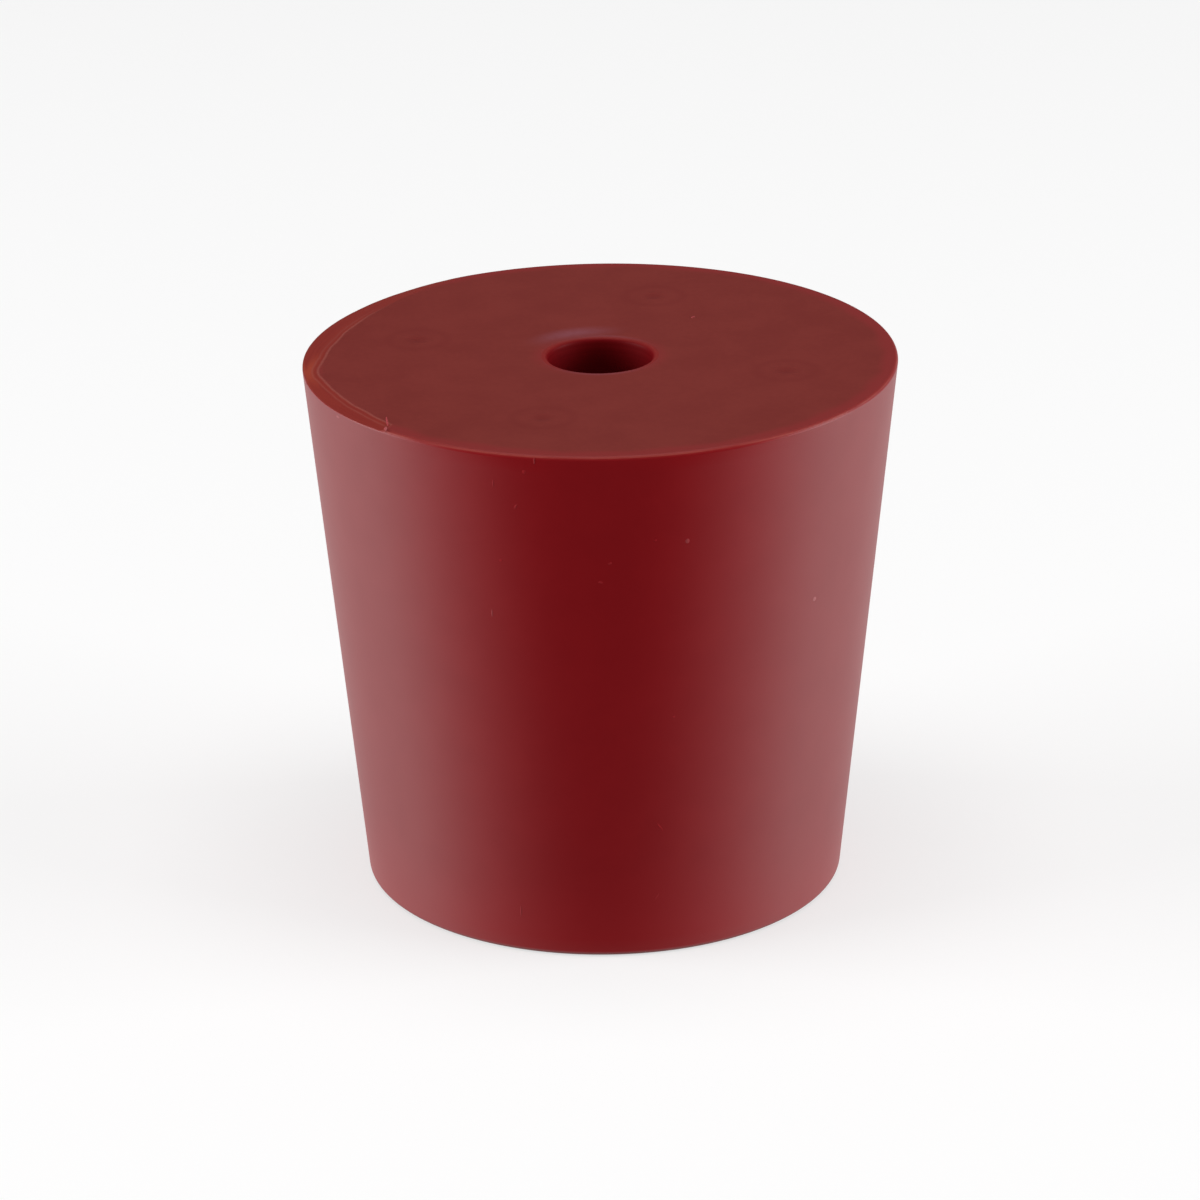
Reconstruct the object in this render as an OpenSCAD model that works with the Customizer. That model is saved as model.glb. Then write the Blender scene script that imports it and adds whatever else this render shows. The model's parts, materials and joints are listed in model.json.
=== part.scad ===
// One-hole rubber stopper, moulded in one piece, wide end up

/* [Body] */
// Diameter of the wide top face, to its sharp corner
top_d = 38; // [34:0.5:60]
// Diameter of the narrow bottom face, to its sharp corner
bottom_d = 31; // [20:0.5:33]
// Height from the bottom face to the top face
height = 35; // [20:1:60]

/* [Bore] */
// Diameter of the hole through the middle, a grip on tubing 0.3 mm larger
bore_d = 6.7; // [3:0.1:12]
// Radius of the rounded mouth at each end of the hole
bore_mouth_r = 0.3; // [0.1:0.1:1]

/* [Rims] */
// Radius of the rounded top rim
top_rim_r = 0.4; // [0.2:0.1:1.5]
// Radius of the rounded bottom rim
bottom_rim_r = 0.4; // [0.2:0.1:1.5]

/* [Pared edge] */
// Width of the crescent where moulding flash was pared off the top rim, at its widest
pare_w = 1.4; // [0.6:0.1:2]
// Fall of the pared facet below the top face, in degrees
pare_slope = 8; // [6:1:30]
// Angle that the crescent spans on each side of its middle
pare_reach = 60; // [30:5:80]
// Direction of the crescent's middle, from +X towards +Y
pare_dir = 180; // [0:5:355]

/* [Pin marks] */
// Number of faint round marks that the mould's pins left on the top face
mark_count = 4; // [2:1:8]
// Diameter of the circle that the marks lie on
mark_circle_d = 24.5; // [18:0.5:28]
// Diameter of one mark
mark_d = 1.6; // [0.8:0.1:3]
// Depth of one mark at its middle
mark_depth = 0.06; // [0.02:0.01:0.2]
// Direction of the first mark, from +X towards +Y
mark_dir = 73; // [0:1:90]

/* [Hidden] */
$fn = 128;
top_r = top_d / 2;
bottom_r = bottom_d / 2;
bore_r = bore_d / 2;
// Room that a cutting shape keeps beyond the face it cuts
over = 1;
rubber_red = [0.43, 0.06, 0.07];

// Half section of the stopper: each corner as [x, z, rounding radius], anticlockwise
section = [
  [bore_r, 0, bore_mouth_r],
  [bottom_r, 0, bottom_rim_r],
  [top_r, height, top_rim_r],
  [bore_r, height, bore_mouth_r],
];

function point(corner) = [corner[0], corner[1]];
function unit(v) = v / norm(v);
function neighbour(corners, i, step) = point(corners[(i + step + len(corners)) % len(corners)]);

// Unit vectors from corner i along its two edges
function edge_back(corners, i) = unit(neighbour(corners, i, -1) - point(corners[i]));
function edge_on(corners, i) = unit(neighbour(corners, i, 1) - point(corners[i]));

// Half of the angle between the two edges at corner i
function half_angle(corners, i) = acos(edge_back(corners, i) * edge_on(corners, i)) / 2;

// How far from corner i its rounding leaves the edges
function setback(corners, i) = corners[i][2] / tan(half_angle(corners, i));

function rounding_centre(corners, i) =
  point(corners[i])
  + unit(edge_back(corners, i) + edge_on(corners, i)) * corners[i][2] / sin(half_angle(corners, i));

// Convex outline with every corner rounded by true arcs
module rounded_outline(corners) {
  polygon([
    for (i = [0 : len(corners) - 1], edge = [edge_back(corners, i), edge_on(corners, i)])
      point(corners[i]) + edge * setback(corners, i)
  ]);
  for (i = [0 : len(corners) - 1])
    translate(rounding_centre(corners, i))
      circle(r = corners[i][2]);
}

// Flat cone, off centre, whose skirt shaves the top rim on one side only
module paring_cut() {
  shift = pare_w / (1 - cos(pare_reach));
  inner_r = top_r - pare_w + shift;
  skirt = pare_w + over;
  fall = tan(pare_slope);
  rotate(pare_dir)
    translate([-shift, 0, height])
      rotate_extrude()
        polygon([
          [inner_r - over, over * fall],
          [inner_r + skirt, -skirt * fall],
          [inner_r + skirt, over * fall],
        ]);
}

// Shallow round hollows on one circle of the top face
module pin_marks() {
  ball_r = (pow(mark_d / 2, 2) + pow(mark_depth, 2)) / (2 * mark_depth);
  for (i = [0 : mark_count - 1])
    rotate(mark_dir + i * 360 / mark_count)
      translate([mark_circle_d / 2, 0, height - mark_depth + ball_r])
        sphere(r = ball_r);
}

module stopper() {
  color(rubber_red)
    difference() {
      rotate_extrude()
        rounded_outline(section);
      paring_cut();
      pin_marks();
    }
}

stopper();
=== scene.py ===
import json
import math
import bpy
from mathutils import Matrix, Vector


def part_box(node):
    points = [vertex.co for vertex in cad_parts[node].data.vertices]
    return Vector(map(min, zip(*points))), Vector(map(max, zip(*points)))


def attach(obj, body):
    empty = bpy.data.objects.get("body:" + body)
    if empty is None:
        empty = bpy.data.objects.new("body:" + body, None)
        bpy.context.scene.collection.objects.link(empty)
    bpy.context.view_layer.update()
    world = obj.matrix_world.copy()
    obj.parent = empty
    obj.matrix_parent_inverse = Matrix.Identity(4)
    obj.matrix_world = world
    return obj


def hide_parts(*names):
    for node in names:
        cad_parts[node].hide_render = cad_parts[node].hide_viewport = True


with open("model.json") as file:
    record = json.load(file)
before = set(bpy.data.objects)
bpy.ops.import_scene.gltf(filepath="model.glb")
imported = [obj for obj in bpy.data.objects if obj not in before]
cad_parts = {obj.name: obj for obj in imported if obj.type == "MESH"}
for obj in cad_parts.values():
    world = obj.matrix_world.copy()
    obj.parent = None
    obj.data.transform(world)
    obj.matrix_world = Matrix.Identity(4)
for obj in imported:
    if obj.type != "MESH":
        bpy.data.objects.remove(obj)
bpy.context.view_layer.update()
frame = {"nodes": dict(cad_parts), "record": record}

from types import SimpleNamespace
import bpy
from mathutils import Matrix, Vector

mm = 0.001
print("frame loaded, nodes:", sorted(frame["nodes"]))


# A node socket that takes part in Python arithmetic: each sign adds a Math node.
class Wire:
    def __init__(self, nodes, socket):
        self.nodes = nodes
        self.socket = socket

    def also(self, name):                        # another output of the same node
        return Wire(self.nodes, self.nodes.find(self.socket.node.outputs, name))

    def math(self, operation, *terms):
        return self.nodes.add("ShaderNodeMath", {"operation": operation}, terms)

    def __add__(self, term):
        return self.math("ADD", self, term)

    def __radd__(self, term):
        return self.math("ADD", term, self)

    def __sub__(self, term):
        return self.math("SUBTRACT", self, term)

    def __rsub__(self, term):
        return self.math("SUBTRACT", term, self)

    def __mul__(self, term):
        return self.math("MULTIPLY", self, term)

    def __rmul__(self, term):
        return self.math("MULTIPLY", term, self)

    def __truediv__(self, term):
        return self.math("DIVIDE", self, term)

    def __rtruediv__(self, term):
        return self.math("DIVIDE", term, self)

    def __pow__(self, term):
        return self.math("POWER", self, term)

    def __gt__(self, term):
        return self.math("GREATER_THAN", self, term)

    def __lt__(self, term):
        return self.math("LESS_THAN", self, term)

    def atMost(self, term):
        return self.math("MINIMUM", self, term)

    def atLeast(self, term):
        return self.math("MAXIMUM", self, term)

    def root(self):
        return self.math("SQRT", self)

    def ease(self, start, end):                  # 0 before start, 1 after end, smooth between
        return self.nodes.add("ShaderNodeMapRange", {"interpolation_type": "SMOOTHSTEP"},
                              {"Value": self, "From Min": start, "From Max": end})

    def near(self, middle, reach):               # 1 at the middle, 0 from reach on
        return 1.0 - self.math("ABSOLUTE", self - middle).ease(0.0, reach)


class Nodes:
    def __init__(self, tree):
        self.tree = tree

    def find(self, sockets, key):
        if isinstance(key, int):
            return sockets[key]
        named = [s for s in sockets if key in (s.identifier, s.name)]
        return next((s for s in named if s.enabled), named[0])

    # Any node: its type, its settings, then the values or links of its sockets
    def add(self, kind, settings=None, sockets=(), out=0):
        node = self.tree.nodes.new(kind)
        for name, value in (settings or {}).items():
            setattr(node, name, value)
        self.fill(node, sockets)
        return Wire(self, self.find(node.outputs, out)) if node.outputs else None

    def fill(self, node, sockets):
        pairs = sockets.items() if isinstance(sockets, dict) else enumerate(sockets)
        for key, value in pairs:
            socket = self.find(node.inputs, key)
            if isinstance(value, Wire):
                self.tree.links.new(value.socket, socket)
            else:
                socket.default_value = value

    def split(self, vector):
        x = self.add("ShaderNodeSeparateXYZ", {}, [vector])
        return x, x.also("Y"), x.also("Z")

    def join(self, x, y, z):
        return self.add("ShaderNodeCombineXYZ", {}, [x, y, z])

    def blend(self, share, first, second):       # two colours
        return self.add("ShaderNodeMix", {"data_type": "RGBA"},
                        {"Factor_Float": share, "A_Color": first, "B_Color": second}, "Result_Color")

    def noise(self, place, scale, detail=2.0):
        return self.add("ShaderNodeTexNoise", {}, {"Vector": place, "Scale": scale, "Detail": detail})

    def mottle(self, noise, first, second):      # two colours in soft patches
        return self.blend(noise.ease(0.3, 0.7), first, second)

    def wrap(self, angle, reach):                # into -reach to reach
        return angle.math("WRAP", angle, reach, -reach)

    # Distance from the nearest of four places on a circle, a quarter turn apart
    def fromFour(self, radius, angle, first, circle):
        turn = self.wrap(angle - math.radians(first), math.pi / 4)
        along = radius * turn.math("COSINE", turn) - circle
        across = radius * turn.math("SINE", turn)
        return (along * along + across * across).root()


def newMaterial(name):
    material = bpy.data.materials.new(name)
    material.use_nodes = True
    return material, Nodes(material.node_tree), material.node_tree.nodes["Principled BSDF"]


def newObject(name, data):
    thing = bpy.data.objects.new(name, data)
    bpy.context.scene.collection.objects.link(thing)
    return thing


# A geometry tree with named inputs, each given as (socket type, value), and the mesh that it starts from
class ShapeTree(Nodes):
    def __init__(self, name, inputs, start=None):
        super().__init__(bpy.data.node_groups.new(name, "GeometryNodeTree"))
        self.start = start or bpy.data.meshes.new(name + "_start")
        self.values = {}
        self.tree.interface.new_socket("Start", in_out="INPUT", socket_type="NodeSocketGeometry")
        for label, (kind, value) in inputs.items():
            socket = self.tree.interface.new_socket(label, in_out="INPUT", socket_type="NodeSocket" + kind)
            self.values[socket.identifier] = value
        self.tree.interface.new_socket("Geometry", in_out="OUTPUT", socket_type="NodeSocketGeometry")
        self.entry = self.tree.nodes.new("NodeGroupInput")

    def size(self, label):
        return Wire(self, self.entry.outputs[label])

    def named(self, label, kind):                # an attribute of the points
        return self.add("GeometryNodeInputNamedAttribute", {"data_type": kind}, {"Name": label}, "Attribute")

    def random(self, bounds, seed):
        low, high = bounds
        return self.add("FunctionNodeRandomValue", {"data_type": "FLOAT"},
                        {"Min": low, "Max": high, "Seed": seed}, "Value")

    def merge(self, parts):
        joined = self.add("GeometryNodeJoinGeometry")
        for part in parts:
            self.tree.links.new(part.socket, joined.socket.node.inputs[0])
        return joined

    # Ends the tree and turns what it makes into a plain mesh object at the origin
    def finish(self, geometry, material, pieceName):
        whole = self.add("GeometryNodeRealizeInstances", {}, [geometry])
        dressed = self.add("GeometryNodeSetMaterial", {}, {"Geometry": whole, "Material": material})
        self.add("NodeGroupOutput", {}, [dressed])
        piece = newObject(pieceName, self.start)
        modifier = piece.modifiers.new("shape", "NODES")
        modifier.node_group = self.tree
        for identifier, value in self.values.items():
            modifier[identifier] = value
        mesh = bpy.data.meshes.new_from_object(piece.evaluated_get(bpy.context.evaluated_depsgraph_get()))
        mesh.name = pieceName
        mesh.materials.clear()                   # joining leaves an empty slot
        mesh.materials.append(material)
        piece.modifiers.remove(modifier)
        piece.data = mesh
        print(pieceName, "has", len(mesh.vertices), "points and", len(mesh.polygons), "faces")
        return piece


# What the frame gives: the height from the node's box, the bore from its mount
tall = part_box("stopper")[1].z
boreMount = next(m for m in frame["record"]["mounts"] if m["name"] == "tube_bore")

stopperForm = {
    "topAcross": 38.0,        # mm, to the sharp corners
    "bottomAcross": 31.0,
    "boreAcross": boreMount["dims"]["r_mm"] * 2,
    "topRim": 0.26,           # mm, rounding radii
    "bottomRim": 0.4,
    "boreMouth": 0.3,
    "rimSetback": 1.106,      # how far the top rim's rounding reaches in from its corner, in radii
    "roundSteps": 9,          # points on each rounding
    "topSlant": 0.35,         # degrees that the top face is out of square, up towards +X
    "around": 480,            # steps around the axis
    "faceStep": 0.19,         # mm between rings on the top face, before they crowd to the rim
    "wallStep": 0.9,          # mm between rings elsewhere
    "crowding": 1.7,          # power of that crowding
    "pareStrokes": [          # blade strokes on the top rim: middle and half reach in degrees, width in mm
        (180, 60, 1.0),
        (159, 36, 1.75),
        (208, 28, 1.3),
    ],
    "pareFall": 8.0,          # degrees below the top face
    "pareEnd": 225.0,         # where the blade was lifted
    "pareLift": 0.5,          # mm
    "pareLiftTurn": (-0.01, 0.03),               # radians past that place, over which it came up
    "pareBlur": 0.02,         # mm, rounding of the cut edge
    "pareWaver": 0.16,        # mm that the cut edge wanders
    "pareWaves": 420.0,       # scale of that wandering, per m
    "markCircle": 24.5,       # mm across
    "markAcross": 1.6,
    "markDepth": 0.06,
    "markFirst": 73.0,        # degrees from +X towards +Y
}


def stopperTree(form):
    return ShapeTree("stopperShape", {
        "Top Radius": ("Float", form["topAcross"] / 2 * mm),
        "Bottom Radius": ("Float", form["bottomAcross"] / 2 * mm),
        "Bore Radius": ("Float", form["boreAcross"] / 2 * mm),
        "Height": ("Float", tall),
        "Top Rim": ("Float", form["topRim"] * mm),
        "Bottom Rim": ("Float", form["bottomRim"] * mm),
        "Bore Mouth": ("Float", form["boreMouth"] * mm),
        "Rim Setback": ("Float", form["topRim"] * form["rimSetback"] * mm),
        "Round Steps": ("Int", form["roundSteps"]),
        "Top Slant": ("Float", math.tan(math.radians(form["topSlant"]))),
        "Around": ("Int", form["around"]),
        "Face Step": ("Float", form["faceStep"] * mm),
        "Wall Step": ("Float", form["wallStep"] * mm),
        "Crowding": ("Float", form["crowding"]),
        "Pare Fall": ("Float", math.tan(math.radians(form["pareFall"]))),
        "Pare Lift": ("Float", form["pareLift"] * mm),
        "Pare Blur": ("Float", form["pareBlur"] * mm),
        "Pare Waver": ("Float", form["pareWaver"] * mm),
        "Pare Waves": ("Float", form["pareWaves"]),
        "Mark Circle": ("Float", form["markCircle"] / 2 * mm),
        "Mark Radius": ("Float", form["markAcross"] / 2 * mm),
        "Mark Depth": ("Float", form["markDepth"] * mm),
    })


# Half section as a closed line: x counts out from the bore wall, y counts down as the height goes up
def stopperSection(tree):
    bore, high = tree.size("Bore Radius"), tree.size("Height")
    slack = 0.01 * mm                            # a level this near the top counts as on it
    corners = tree.add("GeometryNodeCurvePrimitiveQuadrilateral", {"mode": "POINTS"}, {
        "Point 1": (0.0, 0.0, 0.0),
        "Point 2": tree.join(tree.size("Bottom Radius") - bore, 0.0, 0.0),
        "Point 3": tree.join(tree.size("Top Radius") - bore, 0.0 - high, 0.0),
        "Point 4": tree.join(0.0, 0.0 - high, 0.0),
    })
    index = tree.add("GeometryNodeInputIndex")
    atMouth = (index < 0.5) + (index > 2.5)
    atBottom = (index > 0.5) * (index < 1.5)
    atTop = (index > 1.5) * (index < 2.5)
    rounding = (atMouth * tree.size("Bore Mouth") + atBottom * tree.size("Bottom Rim")
                + atTop * tree.size("Top Rim"))
    rounded = tree.add("GeometryNodeFilletCurve", {"mode": "POLY"},
                       {"Curve": corners, "Radius": rounding, "Count": tree.size("Round Steps")})

    # the straight stretches are cut up, the top face finest
    here = tree.add("GeometryNodeInputPosition")
    follower = tree.add("GeometryNodeOffsetPointInCurve", {}, {"Offset": 1}, "Point Index")
    there = tree.add("GeometryNodeFieldAtIndex", {"data_type": "FLOAT_VECTOR"},
                     {"Index": follower, "Value": here})
    length = tree.add("ShaderNodeVectorMath", {"operation": "DISTANCE"}, [here, there], "Value")
    level = (tree.split(here)[1] + tree.split(there)[1]) / -2.0
    onFace = level > high - slack
    step = tree.size("Wall Step") + onFace * (tree.size("Face Step") - tree.size("Wall Step"))
    cut = tree.add("GeometryNodeSubdivideCurve", {}, {"Curve": rounded, "Cuts": length / step})

    # rings of the top face crowd towards the rim, where the blade went
    x, y, z = tree.split(tree.add("GeometryNodeInputPosition"))
    inner = tree.size("Bore Mouth")
    span = tree.size("Top Radius") - bore - tree.size("Rim Setback") - inner
    share = ((x - inner) / span).atLeast(0.0).atMost(1.0)
    crowded = inner + span * (1.0 - (1.0 - share) ** tree.size("Crowding"))
    between = (y < slack - high) * (x > inner) * (x < inner + span)
    return tree.add("GeometryNodeSetPosition", {},
                    {"Geometry": cut, "Selection": between, "Position": tree.join(crowded, y, z)})


# How far the top face lies above each blade stroke, which is a flat cone off the stopper's axis
def paredDepth(tree, form, x, y):
    waves = tree.noise(tree.join(x, y, 0.0), tree.size("Pare Waves"), 1.0)
    wander = tree.size("Pare Waver") * (waves * 2.0 - 1.0)
    deepest = None
    for middle, reach, width in form["pareStrokes"]:
        shift = width / (1 - math.cos(math.radians(reach))) * mm
        shiftX = shift * math.cos(math.radians(middle))
        shiftY = shift * math.sin(math.radians(middle))
        out = ((x + shiftX) ** 2.0 + (y + shiftY) ** 2.0).root()
        beyond = out - (tree.size("Top Radius") - width * mm + shift) + wander
        deepest = beyond if deepest is None else deepest.atLeast(beyond)
    return deepest * tree.size("Pare Fall")


def buildStopper(form, material):
    tree = stopperTree(form)
    high, rim = tree.size("Height"), tree.size("Top Rim")
    path = tree.add("GeometryNodeCurvePrimitiveCircle", {},
                    {"Resolution": tree.size("Around"), "Radius": tree.size("Bore Radius")})
    upright = tree.add("GeometryNodeSetCurveNormal", {"mode": "Z_UP"}, [path])
    turned = tree.add("GeometryNodeCurveToMesh", {},
                      {"Curve": upright, "Profile Curve": stopperSection(tree)})
    outward = tree.add("GeometryNodeFlipFaces", {}, [turned])

    x, y, z = tree.split(tree.add("GeometryNodeInputPosition"))
    radius = (x * x + y * y).root()
    angle = x.math("ARCTAN2", y, x)
    onTop = (z - high + rim).ease(0.0, rim)

    # the pared facet ends with a lift of the blade
    sinceEnd = tree.wrap(angle - math.radians(form["pareEnd"]), math.pi)
    lifted = sinceEnd.ease(*form["pareLiftTurn"]) * tree.size("Pare Lift")
    facet = high - paredDepth(tree, form, x, y) + lifted
    paredZ = x.math("SMOOTH_MIN", z, facet, tree.size("Pare Blur"))
    cut = (z - facet) / mm

    # four shallow marks, and the whole a little out of square
    offMark = tree.fromFour(radius, angle, form["markFirst"], tree.size("Mark Circle"))
    mark = 1.0 - offMark.ease(0.0, tree.size("Mark Radius"))
    dented = paredZ - mark * onTop * tree.size("Mark Depth")
    leaning = dented + x * tree.size("Top Slant") * (z / high)

    zoned = tree.add("GeometryNodeStoreNamedAttribute", {"data_type": "FLOAT_VECTOR", "domain": "POINT"},
                     {"Geometry": outward, "Name": "zones", "Value": tree.join(onTop, cut, 0.0)})
    shaped = tree.add("GeometryNodeSetPosition", {},
                      {"Geometry": zoned, "Position": tree.join(x, y, leaning)})
    return tree.finish(tree.add("GeometryNodeSetShadeSmooth", {}, [shaped]), material, "stopper_body")


# Lengths are in mm and angles in degrees. An edge is where a change starts and where it ends, and a band is
# its middle and its reach to each side.
rubberFinish = {
    "red": (0.247, 0.006, 0.009, 1.0),
    "redDeep": (0.237, 0.0055, 0.0085, 1.0),
    "patchScale": 0.35,                          # waves of the mottling
    "grainScale": 2.6,                           # and of the grain
    "grainStrength": 0.12,
    "grainDepth": 0.02,
    "paintedFootLight": (0.296, 0.0095, 0.0125, 1.0),        # painted light from the floor, a brighter red foot
    "paintedFootLightHeight": 7.0,
    "paintedFootLightFade": 1.5,                             # power of its fading upwards
    # painted shade: the bore darker red than the rubber outside it
    "bore": (0.16, 0.0035, 0.0055, 1.0),
    "boreShadeDeep": (0.14, 0.0025, 0.0045, 1.0),
    "boreShadeEdge": (0.02, 0.25),                    # beyond the bore's radius
    "boreRings": 4.0,                            # waves along the bore
    "bloomAndReflection": (0.196, 0.024, 0.019, 1.0),         # dull brown skin on the end faces, its grey cast partly painted reflection
    "bloomAndReflectionDeep": (0.18, 0.0205, 0.0165, 1.0),
    "bloomEdge": (18.0, 18.9),                   # from the axis, before it wavers
    "bloomWaver": 0.9,
    "mark": (0.165, 0.016, 0.0135, 1.0),         # where the mould's pins pressed
    "markCoreEdge": (0.2, 1.0),                  # from the middle of the mark
    "markCoreShare": 0.75,
    "markRingBand": (1.9, 0.6),
    "markRingShare": 0.4,
    "rim": (0.226, 0.021, 0.02, 1.0),            # painted light, a redder band at the end faces' edge and on the mouth's lips
    "paintedRimHighlight": (0.3, 0.052, 0.042, 1.0),            # painted highlight along the rounding of the top rim
    "paintedRimHighlightBand": (0.7, 0.3),                      # share of the way up the rounding
    "paintedRimHighlightPatches": (0.3, 0.62),
    "paintedRimHighlightShare": 0.8,
    "fresh": (0.238, 0.022, 0.0145, 1.0),        # cut by the blade
    "freshDeep": (0.216, 0.0175, 0.0125, 1.0),
    "freshStreaks": (3.0, 45.0),                 # how fine the streaks are along the cut and across it
    "freshest": (0.32, 0.042, 0.021, 1.0),       # where two strokes meet
    "freshestAround": (6.0, 13.0),               # past the left side
    "freshestBand": (0.08, 0.07),                # depth of the cut
    "paintedEdgeHighlight": (0.3, 0.07, 0.055, 1.0),             # painted highlight, two bright lines at the inner edge of the cut
    "paintedEdgeHighlightAround": (-42.0, -24.0),                # past the left side, an edge
    "paintedEdgeHighlightBand": (0.0, 0.02),                     # depth of the cut
    "secondEdgeHighlightBand": (0.052, 0.016),
    "secondEdgeHighlightShare": 0.55,
    "paintedMouthHighlight": (0.228, 0.058, 0.074, 1.0),         # painted highlight, a pale bluish patch behind the hole
    "paintedMouthHighlightMiddle": 113.0,                        # from +X towards +Y
    "paintedMouthHighlightReach": 48.0,
    "paintedMouthHighlightBand": (4.7, 1.35),                    # from the axis
    "mouthRingHighlightBand": (3.72, 0.32),               # painted highlight, a thin ring on the mouth in front and behind
    "mouthRingHighlightShare": 0.45,
    "litLipEdge": (3.6, 4.7),                       # painted light on the mouth's lips left and right, from the axis
    "litLipShare": 0.8,
    "roughness": 0.5,
    "gloss": 0.04,                               # of the rubber under its film
    "film": (0.85, 1.0, 1.0, 1.0),               # greyish film that makes the rest of the gloss
    "filmIor": 2.0,
    "filmRoughness": 0.4,
    "filmStart": 0.124,                          # turn from the eye where it begins to show, 1 being edge on
    "filmRise": 2.67,                            # its gain with that turn
    "filmFall": 0.525,                           # its loss further round
    "filmEdge": 0.5,                             # what is left of it edge on
    "filmFoot": 0.1,                             # rounding where it begins
    "filmCrest": 0.57,                           # and where the gain turns into the loss
    "endGloss": 0.3,                             # share of that film on the end faces
    "boreGloss": 0.04,                           # and in the bore
    "mouthEdge": (0.3, 0.7),                     # where that ends, beyond the bore's radius
    "rimDullBand": (0.35, 0.5),                  # share of the way up the rounding of the top rim
    "rimDullShare": 0.6,
}


# What the colours go by: places in mm, the zones that the shape stored, mottling and grain
def rubberGuides(shade, finish):
    spot = shade.add("ShaderNodeTexCoord", {}, [], "Object")
    place = shade.add("ShaderNodeVectorMath", {"operation": "SCALE"}, {"Vector": spot, "Scale": 1 / mm})
    x, y, z = shade.split(place)
    radius = (x * x + y * y).root()
    angle = x.math("ARCTAN2", y, x)
    zones = shade.add("ShaderNodeAttribute", {"attribute_name": "zones"}, [], "Vector")
    onTop, cut = shade.split(zones)[:2]
    return SimpleNamespace(
        z=z,
        radius=radius,
        angle=angle,
        pastLeft=angle.math("DEGREES", shade.wrap(angle - math.pi, math.pi)),
        foreAndAft=(y / radius) ** 2.0,          # 1 in front and behind, 0 at the sides
        onTop=onTop,
        onEnd=onTop.atLeast(1.0 - z.ease(0.05, 0.3)),
        cut=cut,                                 # depth in mm, above 0 on the pared facet
        pared=cut.ease(-0.005, 0.015),
        patchy=shade.noise(place, finish["patchScale"]),
        grain=shade.noise(place, finish["grainScale"], 3.0),
    )


def wallColour(shade, finish, at):
    red = shade.mottle(at.patchy, finish["redDeep"], finish["red"])
    # painted light: the floor's light thrown back makes the foot brighter red
    footLight = (1.0 - at.z / finish["paintedFootLightHeight"]).atLeast(0.0) ** finish["paintedFootLightFade"]
    return shade.blend(footLight, red, finish["paintedFootLight"])


# Bloom, its grey cast partly painted reflection, with a dark core and a faint ring at each pin mark, and
# painted light as a redder band towards the rim
def endColour(shade, finish, form, at):
    patches = (at.patchy * 0.6 + at.grain * 0.4).ease(0.35, 0.65)
    skinAndReflection = shade.blend(patches, finish["bloomAndReflectionDeep"], finish["bloomAndReflection"])
    offMark = shade.fromFour(at.radius, at.angle, form["markFirst"], form["markCircle"] / 2)
    core = (1.0 - offMark.ease(*finish["markCoreEdge"])) * finish["markCoreShare"]
    ring = offMark.near(*finish["markRingBand"]) * finish["markRingShare"]
    pressed = core.atLeast(ring) * (0.5 + at.grain)
    skinAndReflection = shade.blend(pressed.atMost(1.0), skinAndReflection, finish["mark"])
    # painted light: a redder band towards the rim
    litEdge = (at.radius + at.patchy * finish["bloomWaver"]).ease(*finish["bloomEdge"])
    return shade.blend(litEdge, skinAndReflection, finish["rim"])


# Painted highlight in patches along the rounding of the top rim, off the pared facet
def paintRimHighlight(shade, finish, at, colour):
    patches = at.patchy.ease(*finish["paintedRimHighlightPatches"])
    paintedRimHighlight = at.onTop.near(*finish["paintedRimHighlightBand"]) * (1.0 - at.pared) * patches
    return shade.blend(paintedRimHighlight * finish["paintedRimHighlightShare"], colour, finish["paintedRimHighlight"])


def paintMouthLight(shade, finish, at, colour):
    # Painted highlights: a pale bluish patch behind the hole, and a thin ring on the mouth in front and
    # behind
    aside = shade.wrap(at.angle - math.radians(finish["paintedMouthHighlightMiddle"]), math.pi)
    behind = aside.near(0.0, math.radians(finish["paintedMouthHighlightReach"]))
    patchBehind = at.radius.near(*finish["paintedMouthHighlightBand"]) * behind * (0.5 + at.grain * 0.6)
    ring = at.radius.near(*finish["mouthRingHighlightBand"]) * at.foreAndAft * finish["mouthRingHighlightShare"]
    highlighted = shade.blend((patchBehind.atLeast(ring) * at.onTop).atMost(1.0), colour, finish["paintedMouthHighlight"])
    # painted light: redder lips left and right of the mouth
    litLips = (1.0 - at.radius.ease(*finish["litLipEdge"])) * (1.0 - at.foreAndAft)
    return shade.blend(litLips * at.onTop * finish["litLipShare"], highlighted, finish["rim"])


def cutFacet(shade, finish, at, colour):
    along, across = finish["freshStreaks"]
    streaks = shade.noise(shade.join(at.angle * along, at.cut * across, 0.0), 1.0)
    fresh = shade.mottle(streaks, finish["freshDeep"], finish["fresh"])
    meeting = at.pastLeft.near(*finish["freshestAround"]) * at.cut.near(*finish["freshestBand"])
    fresh = shade.blend(meeting, fresh, finish["freshest"])
    facet = shade.blend(at.pared * at.onTop.ease(0.0, 0.5), colour, fresh)
    # painted highlight: two bright lines along the cut's inner edge, past the left side
    second = at.cut.near(*finish["secondEdgeHighlightBand"]) * finish["secondEdgeHighlightShare"]
    highlightLines = at.cut.near(*finish["paintedEdgeHighlightBand"]).atLeast(second)
    litSide = at.pastLeft.ease(*finish["paintedEdgeHighlightAround"]) * at.onTop
    return shade.blend(highlightLines * litSide * (0.35 + at.grain * 0.6), facet, finish["paintedEdgeHighlight"])


# 1 in the bore, 0 past an edge that is given beyond the bore's radius
def withinBore(form, at, edge):
    start, end = edge
    bore = form["boreAcross"] / 2
    return 1.0 - at.radius.ease(bore + start, bore + end)


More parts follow.
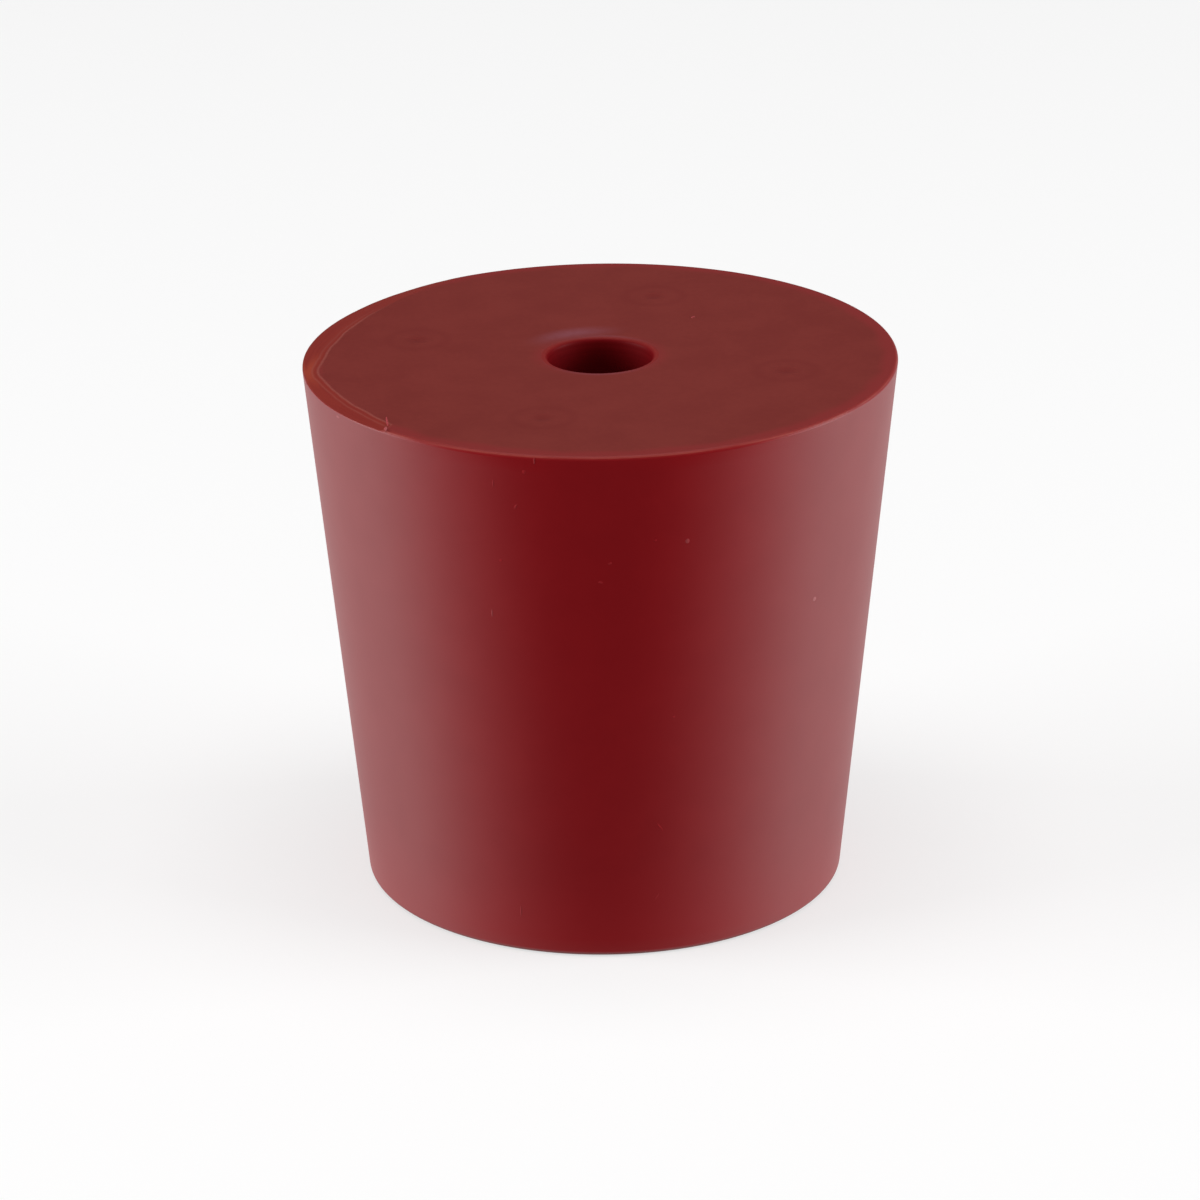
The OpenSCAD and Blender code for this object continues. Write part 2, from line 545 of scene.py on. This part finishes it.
def filmWeight(shade, finish, form, at):
    facing = shade.add("ShaderNodeLayerWeight", {}, {"Blend": 0.5}, "Facing")
    rising = (facing - finish["filmStart"]) * finish["filmRise"]
    falling = (1.0 - facing) * finish["filmFall"] + finish["filmEdge"]
    crest = facing.math("SMOOTH_MIN", rising, falling, finish["filmCrest"])
    sheen = facing.math("SMOOTH_MAX", crest, 0.0, finish["filmFoot"])
    inMouth = withinBore(form, at, finish["mouthEdge"])
    dull = (at.onEnd * (1.0 - finish["endGloss"])).atLeast(inMouth * (1.0 - finish["boreGloss"]))
    dullRim = at.onTop.near(*finish["rimDullBand"]) * finish["rimDullShare"]
    return sheen * (1.0 - dull) * (1.0 - dullRim) * (0.96 + at.patchy * 0.08)


def redRubber(finish, form):
    material, shade, shader = newMaterial("moulded_rubber")
    at = rubberGuides(shade, finish)
    colour = shade.blend(at.onEnd, wallColour(shade, finish, at), endColour(shade, finish, form, at))
    colour = paintRimHighlight(shade, finish, at, colour)
    colour = paintMouthLight(shade, finish, at, colour)
    colour = cutFacet(shade, finish, at, colour)
    # painted shade inside the bore, mottled in rings along it
    rings = shade.noise(shade.join(0.0, 0.0, at.z), finish["boreRings"])
    paintedBoreShade = shade.mottle(rings, finish["boreShadeDeep"], finish["bore"])
    colour = shade.blend(withinBore(form, at, finish["boreShadeEdge"]), colour, paintedBoreShade)
    shade.fill(shader, {
        "Base Color": colour,
        "Coat Weight": filmWeight(shade, finish, form, at),
        "Coat IOR": finish["filmIor"],
        "Coat Roughness": finish["filmRoughness"],
        "Coat Tint": finish["film"],
        "Roughness": finish["roughness"],
        "Specular IOR Level": finish["gloss"],
        "Normal": shade.add("ShaderNodeBump", {}, {
            "Height": at.grain, "Strength": finish["grainStrength"], "Distance": finish["grainDepth"] * mm}),
    })
    return material


stopper = buildStopper(stopperForm, redRubber(rubberFinish, stopperForm))
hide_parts("stopper")
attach(stopper, "root")

cameraSetup = {
    "elevation": 21.76,       # degrees
    "distance": 347.9,        # mm from the middle of the stopper
    "aim": (-0.16, 0.0, 18.19),                  # mm
    "roll": -0.553,           # degrees
    "lens": 160.69,           # mm
    "sensor": 36.0,           # mm across
    "nearest": 10.0,          # mm from the lens that it still shows
    "photoAcross": 1200,      # pixels, both ways
}


# Where the camera stands, and its axes to the right, up and back
def cameraPose(setup):
    lift = math.radians(setup["elevation"])
    distance = setup["distance"] * mm
    place = Vector((0, -distance * math.cos(lift), tall / 2 + distance * math.sin(lift)))
    ahead = (Vector(setup["aim"]) * mm - place).normalized()
    right = ahead.cross(Vector((0, 0, 1))).normalized()
    above = right.cross(ahead)
    roll = math.radians(setup["roll"])
    rolledRight = right * math.cos(roll) + above * math.sin(roll)
    rolledUp = above * math.cos(roll) - right * math.sin(roll)
    return place, Matrix((rolledRight, rolledUp, -ahead)).transposed()


# The point of a piece that the camera sees at a pixel of the photo, and the way the surface faces there
def seenAt(across, down, piece, setup):
    place, axes = cameraPose(setup)
    half = setup["photoAcross"] / 2
    pixel = setup["sensor"] / setup["photoAcross"]
    sight = axes @ Vector(((across - half) * pixel, (half - down) * pixel, -setup["lens"]))
    depsgraph = bpy.context.evaluated_depsgraph_get()
    return piece.ray_cast(place, sight.normalized(), depsgraph=depsgraph)[1:3]


# Each spot: its place in the photo in pixels across and down, then its width and length in mm,
# its lean in degrees and how pale it is from 0 to 1
dustSetup = {
    "spots": [
        (687.5, 541, 0.27, 0.32, 0, 0.25),
        (814.5, 599, 0.32, 0.3, 0, 1.0),
        (610, 563.5, 0.26, 0.15, 20, 0.03),
        (600.5, 582.5, 0.28, 0.16, -15, 0.03),
        (492, 613, 0.1, 0.5, 0, 0.35),
        (515.5, 506.5, 0.14, 0.36, -30, 0.08),
        (501, 560.5, 0.22, 0.18, 0, 0.05),
        (493, 483.5, 0.09, 0.5, 0, 0.14),
        (524, 472, 0.24, 0.28, 0, 0.02),
        (655.5, 540.5, 0.18, 0.16, 0, 0.0),
        (673.5, 717, 0.18, 0.18, 0, 0.05),
        (660, 827, 0.1, 0.75, 35, 0.03),
        (657, 896.5, 0.1, 0.5, -25, 0.08),
        (521, 911, 0.11, 0.85, 0, 0.2),
        (534, 461, 0.09, 0.45, 0, 0.15),
        (338, 417, 0.4, 0.16, 0, 1.0),
        (385.5, 428, 0.2, 1.7, 53, 0.5),         # a tag of flash where the blade stopped
        (387, 421.5, 0.14, 1.8, 53, 0.3),        # and its thin end
        (693, 317, 0.16, 0.36, 0, 0.35),
    ],
    "thickness": 0.05,        # mm
    "hiddenDensity": 9000.0,  # spots in a square metre of the wall that faces away from the camera
    "hiddenFrom": 5.0,        # mm behind the axis
    "hiddenMargin": 1.0,      # mm left free at the rims
    "hiddenWidth": (0.08, 0.26),                 # mm, least and most
    "hiddenLength": (0.12, 0.4),
    "hiddenPale": (0.02, 0.4),
    "seed": 7,
}

dustFinish = {
    "thin": (0.3, 0.009, 0.013, 1.0),
    "thick": (0.4, 0.15, 0.155, 1.0),
    "roughness": 0.8,
    "gloss": 0.1,
}


def rubberDust(finish):
    material, shade, shader = newMaterial("rubber_dust")
    pale = shade.add("ShaderNodeAttribute", {"attribute_name": "pale"}, [], "Fac")
    shade.fill(shader, {
        "Base Color": shade.blend(pale, finish["thin"], finish["thick"]),
        "Roughness": finish["roughness"],
        "Specular IOR Level": finish["gloss"],
    })
    return material


# A spot's place, turn and size, with its length up the wall or inwards on an end face before it leans
def spotOn(point, normal, width, length, lean, pale, thickness):
    outward = Vector((point.x, point.y, 0)).normalized()
    along = normal.cross(Vector((0, 0, 1)).cross(outward)).normalized()
    along = Matrix.Rotation(math.radians(lean), 3, normal) @ along
    axes = Matrix((along.cross(normal), along, normal)).transposed()
    return point, axes.to_euler(), Vector((width, length, thickness)) * mm, pale


def dustSpots(setup, view, body):
    spots = []
    for across, down, *rest in setup["spots"]:
        point, normal = seenAt(across, down, body, view)
        spots.append(spotOn(point, normal, *rest, setup["thickness"]))
    return spots


def spotMesh(spots):
    mesh = bpy.data.meshes.new("dust_spots")
    mesh.from_pydata([place for place, turn, size, pale in spots], [], [])
    for label, kind in (("turn", "FLOAT_VECTOR"), ("size", "FLOAT_VECTOR"), ("pale", "FLOAT")):
        mesh.attributes.new(label, kind, "POINT")
    for index, (place, turn, size, pale) in enumerate(spots):
        mesh.attributes["turn"].data[index].vector = turn
        mesh.attributes["size"].data[index].vector = size
        mesh.attributes["pale"].data[index].value = pale
    return mesh


# The side that the photo doesn't show gets a thin scatter of the same
def hiddenDust(tree, setup, form, grainShape):
    x, y, z = tree.split(tree.add("GeometryNodeInputPosition"))
    margin = setup["hiddenMargin"] * mm
    beyondFoot = (x * x + y * y).root() > form["bottomAcross"] / 2 * mm
    onWall = beyondFoot * (z < tall - margin) * (z > margin)
    seed = tree.size("Seed")
    strewn = tree.add("GeometryNodeDistributePointsOnFaces", {"distribute_method": "RANDOM"}, {
        "Mesh": tree.add("GeometryNodeObjectInfo", {}, {"Object": tree.size("Body")}, "Geometry"),
        "Selection": onWall * (y > tree.size("Hidden From")),
        "Density": tree.size("Hidden Density"), "Seed": seed})
    toned = tree.add("GeometryNodeStoreNamedAttribute", {"data_type": "FLOAT", "domain": "POINT"},
                     {"Geometry": strewn, "Name": "pale", "Value": tree.random(setup["hiddenPale"], seed)})
    width = tree.random(setup["hiddenWidth"], seed + 1) * mm
    length = tree.random(setup["hiddenLength"], seed + 2) * mm
    return tree.add("GeometryNodeInstanceOnPoints", {}, {
        "Points": toned, "Instance": grainShape, "Rotation": strewn.also("Rotation"),
        "Scale": tree.join(width, length, tree.size("Thickness"))})


def buildDust(setup, form, view, body, material):
    tree = ShapeTree("dustShape", {
        "Body": ("Object", body),
        "Thickness": ("Float", setup["thickness"] * mm),
        "Hidden Density": ("Float", setup["hiddenDensity"]),
        "Hidden From": ("Float", setup["hiddenFrom"] * mm),
        "Seed": ("Int", setup["seed"]),
    }, spotMesh(dustSpots(setup, view, body)))
    grainShape = tree.add("GeometryNodeMeshIcoSphere", {}, {"Radius": 0.5, "Subdivisions": 2})
    turned = tree.add("FunctionNodeEulerToRotation", {}, [tree.named("turn", "FLOAT_VECTOR")])
    placed = tree.add("GeometryNodeInstanceOnPoints", {}, {
        "Points": tree.size("Start"), "Instance": grainShape,
        "Rotation": turned, "Scale": tree.named("size", "FLOAT_VECTOR")})
    scattered = hiddenDust(tree, setup, form, grainShape)
    return tree.finish(tree.merge([placed, scattered]), material, "dust_flecks")


dust = buildDust(dustSetup, stopperForm, cameraSetup, stopper, rubberDust(dustFinish))
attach(dust, "root")

stageSetup = {
    "floorAcross": 8.0,                          # m
    "floorSeen": (0.37, 0.37, 0.37, 1.0),        # what takes the shadow, to the camera and in reflections
    "floorWhite": (0.6, 0.6, 0.6, 1.0),          # what stays white there
    "floorBack": (0.45, 0.45, 0.45, 1.0),        # to the light that it throws back at the stopper
    "floorRoughness": 0.9,
    "floorDrop": 0.02,                           # mm under the stopper, so that the two faces don't fight
    "worldLevel": 0.12,
}


def paperWhite(setup):
    material, shade, shader = newMaterial("floor_paper")
    path = shade.add("ShaderNodeLightPath", {}, [], "Is Camera Ray")
    seen = path.atLeast(path.also("Is Glossy Ray")).atLeast(path.also("Is Transmission Ray"))
    shade.fill(shader, {
        "Base Color": shade.blend(seen, setup["floorBack"], setup["floorSeen"]),
        "Emission Color": shade.blend(seen, (0.0, 0.0, 0.0, 1.0), setup["floorWhite"]),
        "Emission Strength": 1.0,
        "Roughness": setup["floorRoughness"],
        "Specular IOR Level": 0.0,
    })
    return material


def buildStage(setup):
    half = setup["floorAcross"] / 2
    drop = -setup["floorDrop"] * mm
    mesh = bpy.data.meshes.new("floor")
    mesh.from_pydata([(-half, -half, drop), (half, -half, drop), (half, half, drop), (-half, half, drop)],
                     [], [(0, 1, 2, 3)])
    mesh.materials.append(paperWhite(setup))
    floor = newObject("floor", mesh)
    world = bpy.data.worlds.new("studio")
    world.use_nodes = True
    sky = world.node_tree.nodes["Background"]
    sky.inputs["Color"].default_value = (1.0, 1.0, 1.0, 1.0)
    sky.inputs["Strength"].default_value = setup["worldLevel"]
    bpy.context.scene.world = world


# Soft boxes: degrees from the camera's side and above the floor, distance, width and height in m, power in W
lampSetup = {
    "leftBox": (-82, 14, 0.7, 0.5, 0.4, 4.8),
    "rightBox": (82, 14, 0.7, 0.5, 0.4, 4.8),
    "overhead": (0, 85, 0.7, 0.5, 0.5, 2.7),
}


def buildLamps(setup):
    aim = Vector((0, 0, tall / 2))
    for name, (aside, above, distance, width, height, power) in setup.items():
        lamp = bpy.data.lights.new(name, "AREA")
        lamp.shape = "RECTANGLE"
        lamp.size = width
        lamp.size_y = height
        lamp.energy = power
        holder = newObject(name, lamp)
        turn, lift = math.radians(aside), math.radians(above)
        away = Vector((math.sin(turn) * math.cos(lift), -math.cos(turn) * math.cos(lift), math.sin(lift)))
        holder.location = aim + away * distance
        holder.rotation_euler = away.to_track_quat("Z", "Y").to_euler()


def buildCamera(setup):
    place, axes = cameraPose(setup)
    camera = bpy.data.cameras.new("camera")
    camera.lens = setup["lens"]
    camera.sensor_width = setup["sensor"]
    camera.clip_start = setup["nearest"] * mm
    holder = newObject("camera", camera)
    holder.matrix_world = Matrix.Translation(place) @ axes.to_4x4()
    bpy.context.scene.camera = holder


buildStage(stageSetup)
buildLamps(lampSetup)
buildCamera(cameraSetup)
bpy.context.scene.view_settings.view_transform = "Standard"
print("stage, lamps and camera are in place")
